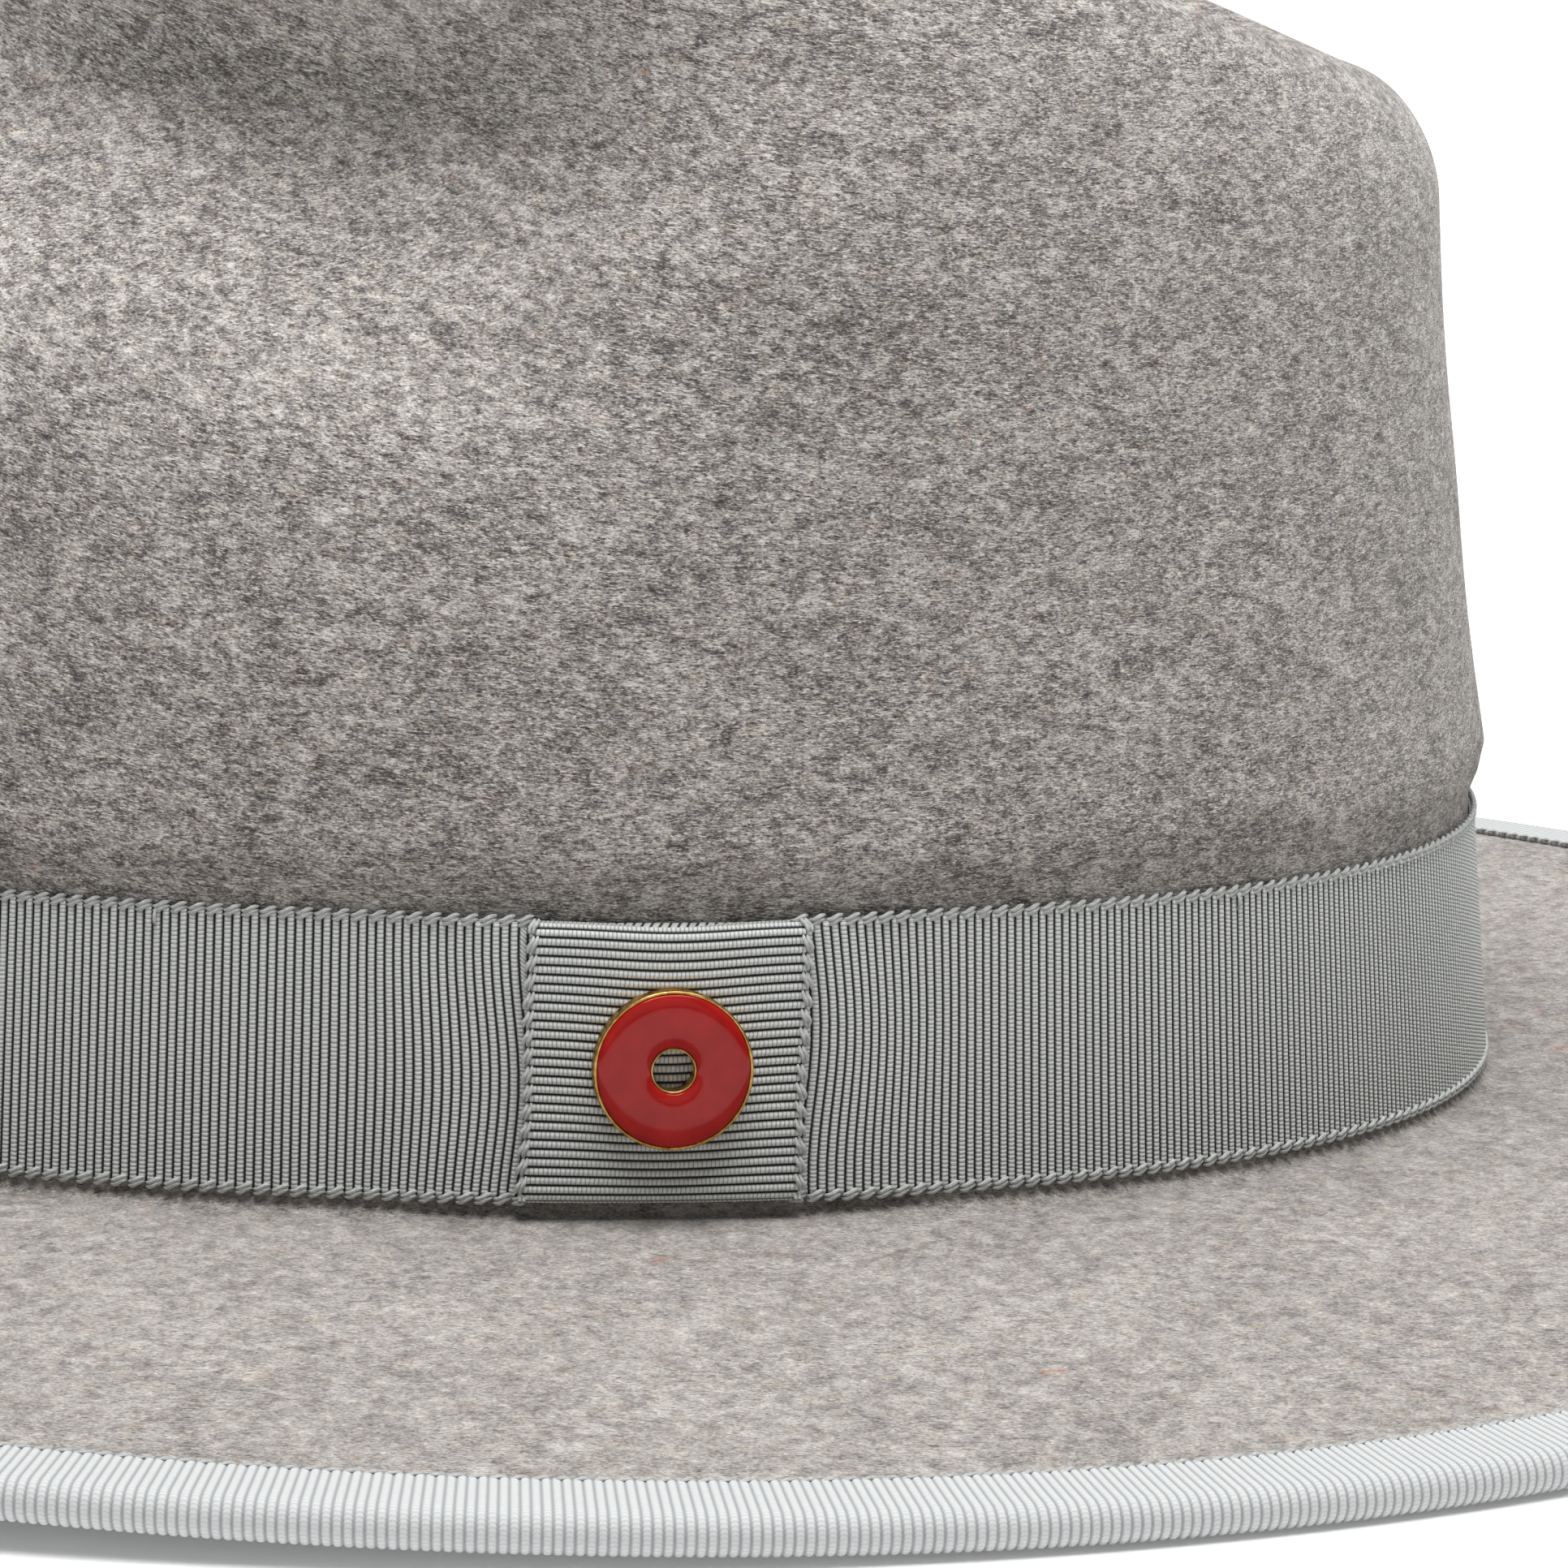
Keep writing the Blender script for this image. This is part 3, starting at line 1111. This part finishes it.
def lining_wall(material):
    """The upright part of the lining, gathered softly below its seam and tucked behind the sweatband."""
    angles = full_turn(720)
    seam_share, foot_share = 0.106, 0.84
    shares = np.concatenate([np.linspace(seam_share, SHOULDER_SHARE, 26)[:-1],
                             np.linspace(SHOULDER_SHARE, foot_share, 26)])
    rows = np.array([crown_wall(angles, share) for share in shares])
    window = smooth((shares - seam_share) / 0.1) * smooth((0.66 - shares) / 0.16)
    crease = 0.5 + 0.5 * np.sin(46 * angles + 1.4 * np.sin(7 * angles))
    fine = 0.5 + 0.5 * np.sin(113 * angles + 2 * np.sin(5 * angles))
    folds = window[:, None] * (0.75 * crease ** 2 + 0.3 * fine)[None, :]
    places, weave = lining_layer(rows, folds)
    piece = grid_piece("lining_wall_visual", places, closed_rows=True, closed_columns=True, weave=weave)
    return dress(piece, material, "lining", "lining_wall")


def lining_stitches(material):
    """The stitches of the seam between the lining's tip and its wall."""
    count = 4096
    rows = np.array([crown_wall(full_turn(count), share) for share in (0.09, 0.103, 0.116)])
    normals = grid_normals(rows)[1]
    seam = rows[1] - normals * (FELT + GAP + LINING + 0.1)

    def place(angle, sink):
        number = np.mod(np.round(angle / TURN * count).astype(int), count)
        return seam[number] + normals[number] * sink[..., None]
    piece = stitch_row("lining_stitches", 2.0, 2.9, THREAD * 0.8, place)
    return dress(piece, material, "thread", "lining_thread")


def hatband_tacks(material):
    """Small upright stitches that tack the hatband's top edge to the crown."""
    angles = full_turn(TACKS) + 0.75 * TURN / TACKS
    stretch = np.linspace(-0.5, 0.5, 9)
    grid = np.repeat(angles[:, None], len(stretch), axis=1)
    outward = band_inside(grid) + RIBBON_THICK + 0.28 - 1.0 * (2 * stretch[None, :]) ** 4
    height = BAND_FOOT + RIBBON - 0.9 + 1.9 * stretch[None, :]
    piece = tubes("hatband_tacks_visual", wall_place(grid, outward, height), 0.17 * tapered(stretch))
    return dress(piece, material, "thread", "hatband_tacks")


def paint_nodes(material, *nodes):
    """Give CAD nodes that stay as they are their material."""
    for node in nodes:
        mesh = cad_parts[node].data
        mesh.materials.clear()
        mesh.materials.append(material)


# ---- Ring pin ----

PIN_RADIUS = 7.3
PIN_HOLE = 1.9
PIN_DEPTH = 2.1
PIN_DOME = 0.75
GROOVES = 62                 # finely cut round the cup's side
ENAMEL_FLOOR = 0.6


def pin_frame():
    """The pin's seat, and its own sideways, upward and outward directions."""
    height = BAND_FOOT + RIBBON / 2 - PIN_BELOW_KEEPER
    seat = wall_place(PIN_ANGLE, band_inside(PIN_ANGLE) + RIBBON_THICK + LAYER + PIN_STANDOFF, height)
    return (seat, *wall_axes(PIN_ANGLE))


def turned(name, profile, columns, ruffle=None):
    """A ring turned about the pin's axis: profile is (radius, height) pairs; ruffle moves the radius."""
    seat, sideways, upward, out = pin_frame()
    turn = full_turn(columns)
    rows = []
    for number, (radius, height) in enumerate(profile):
        reach = radius + (ruffle(turn, number) if ruffle else 0.0)
        spoke = sideways * (np.cos(turn) * reach)[:, None] + upward * (np.sin(turn) * reach)[:, None]
        rows.append(seat + spoke + out * height)
    return grid_piece(name, np.array(rows), closed_rows=True, closed_columns=True, body=PIN_BODY)


def pin_cup(material):
    """The gilt cup: a thin rim round the enamel and a finely grooved side."""
    foot = [(PIN_RADIUS - 0.12, 0.0), (PIN_RADIUS, 0.1)]
    side = [(PIN_RADIUS, height) for height in np.linspace(0.25, PIN_DEPTH - 0.45, 9)]
    first, last = len(foot), len(foot) + len(side)
    rim = [(PIN_RADIUS, PIN_DEPTH - 0.28), (PIN_RADIUS + 0.03, PIN_DEPTH - 0.12),
           (PIN_RADIUS - 0.06, PIN_DEPTH), (PIN_RADIUS - 0.24, PIN_DEPTH - 0.02),
           (PIN_RADIUS - 0.34, PIN_DEPTH - 0.3), (PIN_RADIUS - 0.4, ENAMEL_FLOOR)]
    middle = [(PIN_HOLE + 0.3, ENAMEL_FLOOR), (PIN_HOLE + 0.26, PIN_DEPTH - 0.3),
              (PIN_HOLE + 0.18, PIN_DEPTH - 0.02), (PIN_HOLE + 0.06, PIN_DEPTH), (PIN_HOLE, PIN_DEPTH - 0.12),
              (PIN_HOLE, 0.1), (PIN_HOLE + 0.1, 0.0)]

    def grooves(turn, number):
        if not first <= number < last:
            return 0.0
        twist = (number - first) * 0.012
        groove = np.abs(np.sin(GROOVES * (turn + twist)))
        return -0.07 * groove - 0.035 * np.sin(turn * 23 + number * 2.1)
    piece = turned("pin_cup_visual", foot + side + rim + middle, 744, grooves)
    return dress(piece, material, "gilt_metal", "pin_cup")


def pin_enamel(material):
    """The enamel, domed between the rims like a puffed ring."""
    inner, outer = PIN_HOLE + 0.24, PIN_RADIUS - 0.3
    profile = [(inner, 0.75)]
    for turn in np.linspace(0, math.pi, 29):
        share = (1 - math.cos(turn)) / 2
        rise = 0.45 * (1 - abs(2 * share - 1) ** 4) ** 0.5
        profile.append((inner + (outer - inner) * share, PIN_DEPTH - 0.06 + PIN_DOME * rise))
    profile.append((outer, 0.75))
    piece = turned("pin_enamel_visual", profile, 160)
    return dress(piece, material, "enamel", "pin_enamel")


# ---- Studio ----

CAMERA_PLACE = (543.58, 24.41, 131.68 + BREAK_LIFT)
CAMERA_YAW = math.radians(0.68)
CAMERA_PITCH = math.radians(11.2)
CAMERA_ROLL = math.radians(1.46)
CAMERA_LENS = 119.84
SENSOR = 36.0


def camera():
    """A long lens at the wearer's left, looking slightly down."""
    look = Vector((-math.cos(CAMERA_YAW) * math.cos(CAMERA_PITCH),
                   math.sin(CAMERA_YAW) * math.cos(CAMERA_PITCH), -math.sin(CAMERA_PITCH)))
    right = look.cross(Vector((0, 0, 1))).normalized()
    up = right.cross(look)
    rolled_right = right * math.cos(CAMERA_ROLL) + up * math.sin(CAMERA_ROLL)
    rolled_up = up * math.cos(CAMERA_ROLL) - right * math.sin(CAMERA_ROLL)
    data = bpy.data.cameras.new("camera")
    data.lens = CAMERA_LENS
    data.sensor_width = SENSOR
    data.clip_start = 0.01
    held = bpy.data.objects.new("camera", data)
    turn = Matrix((rolled_right, rolled_up, -look)).transposed().to_4x4()
    held.matrix_world = Matrix.Translation(Vector(CAMERA_PLACE) * MM) @ turn
    bpy.context.scene.collection.objects.link(held)
    bpy.context.scene.camera = held


def area_light(name, place, aim, size, power):
    data = bpy.data.lights.new(name, "AREA")
    data.shape = "RECTANGLE"
    data.size, data.size_y = size
    data.energy = power
    held = bpy.data.objects.new(name, data)
    held.location = place
    held.rotation_euler = (Vector(aim) - Vector(place)).to_track_quat("-Z", "Y").to_euler()
    bpy.context.scene.collection.objects.link(held)


def studio():
    """Pale floor, white surround and large soft lights above, in front and behind."""
    mesh = bpy.data.meshes.new("floor")
    reach = 3.0
    mesh.from_pydata([(-reach, -reach, 0), (reach, -reach, 0), (reach, reach, 0), (-reach, reach, 0)], [],
                     [(0, 1, 2, 3)])
    floor = bpy.data.objects.new("floor", mesh)
    floor.location.z = -0.0002
    bpy.context.scene.collection.objects.link(floor)
    pale = Shader("pale_floor")
    place = pale.place()
    away = pale.add("ShaderNodeVectorMath", {"operation": "LENGTH"}, i0=place).outputs["Value"]
    glow = pale.step(away, 0.7, 1.5, 0.12, 0.8)
    pale.finish(srgb(250, 250, 250), 0.9, Emission_Color=(1, 1, 1, 1), Emission_Strength=glow)
    mesh.materials.append(pale.material)

    world = bpy.data.worlds.new("studio")
    bpy.context.scene.world = world
    world.use_nodes = True
    world.node_tree.nodes["Background"].inputs[0].default_value = (1, 1, 1, 1)
    tree = world.node_tree
    seen = tree.nodes.new("ShaderNodeLightPath")
    mix = tree.nodes.new("ShaderNodeMix")
    mix.inputs[2].default_value = 0.08
    mix.inputs[3].default_value = 1.05
    tree.links.new(seen.outputs["Is Camera Ray"], mix.inputs[0])
    tree.links.new(mix.outputs[0], tree.nodes["Background"].inputs[1])

    area_light("top_light", (0.12, 0.05, 1.6), (0, 0, 0.05), (1.3, 1.3), 49)
    area_light("front_light", (1.6, 0.1, 0.5), (0, 0, 0.06), (1.2, 0.8), 1.5)
    area_light("back_light", (-1.2, 0.8, 0.9), (0, 0, 0.06), (1.2, 1.0), 3)

    scene = bpy.context.scene
    scene.view_settings.view_transform = "Standard"
    scene.view_settings.look = "None"
    scene.view_settings.exposure = 0.0
    scene.view_settings.gamma = 1.0


# ---- Build ----

camera()
studio()

felt_cloth = felt_material()
band_cloth = ribbon_material("band_grosgrain", srgb(216, 219, 217), srgb(26, 28, 28), 0.7, 0.5, 0.0)
binding_cloth = ribbon_material("binding_grosgrain", srgb(192, 194, 194), srgb(146, 148, 149), 0.25)
tape_cloth = ribbon_material("tape_weave", srgb(128, 128, 128), srgb(70, 70, 70))
band_thread = thread_material("band_thread", srgb(208, 211, 209))
binding_thread = thread_material("binding_thread", srgb(192, 194, 194))
lining_silk = thread_material("lining_silk", srgb(150, 151, 153))
leather_linen = thread_material("leather_linen", srgb(188, 180, 166))
gilt = gilt_material()
plated = plated_material()
satin = satin_material()

felt_body(felt_cloth)
band = hatband(band_cloth)
band_trim = band_edges(band_thread) + [hatband_tacks(band_thread)]
keeper = hatband_keeper(band_cloth)
keeper_trim = keeper_edges(band_thread)
binding = brim_binding(binding_cloth)
binding_trim = binding_stitches(binding_thread)
pin_cup(gilt)
pin_enamel(enamel_material())
tip = lining_tip(satin)
wall = lining_wall(satin)
seam = lining_stitches(lining_silk)
leather = sweatband(leather_material())
leather_seam = sweatband_stitches(leather_linen)
reed_tape(tape_cloth)
sweatband_bow(tape_cloth)
tab = size_tab(tab_material())
paint_nodes(plastic_material(), "sweatband_reed")
paint_nodes(plated, "clutch_front", "clutch_rear")
paint_nodes(gilt, "pin_posts")
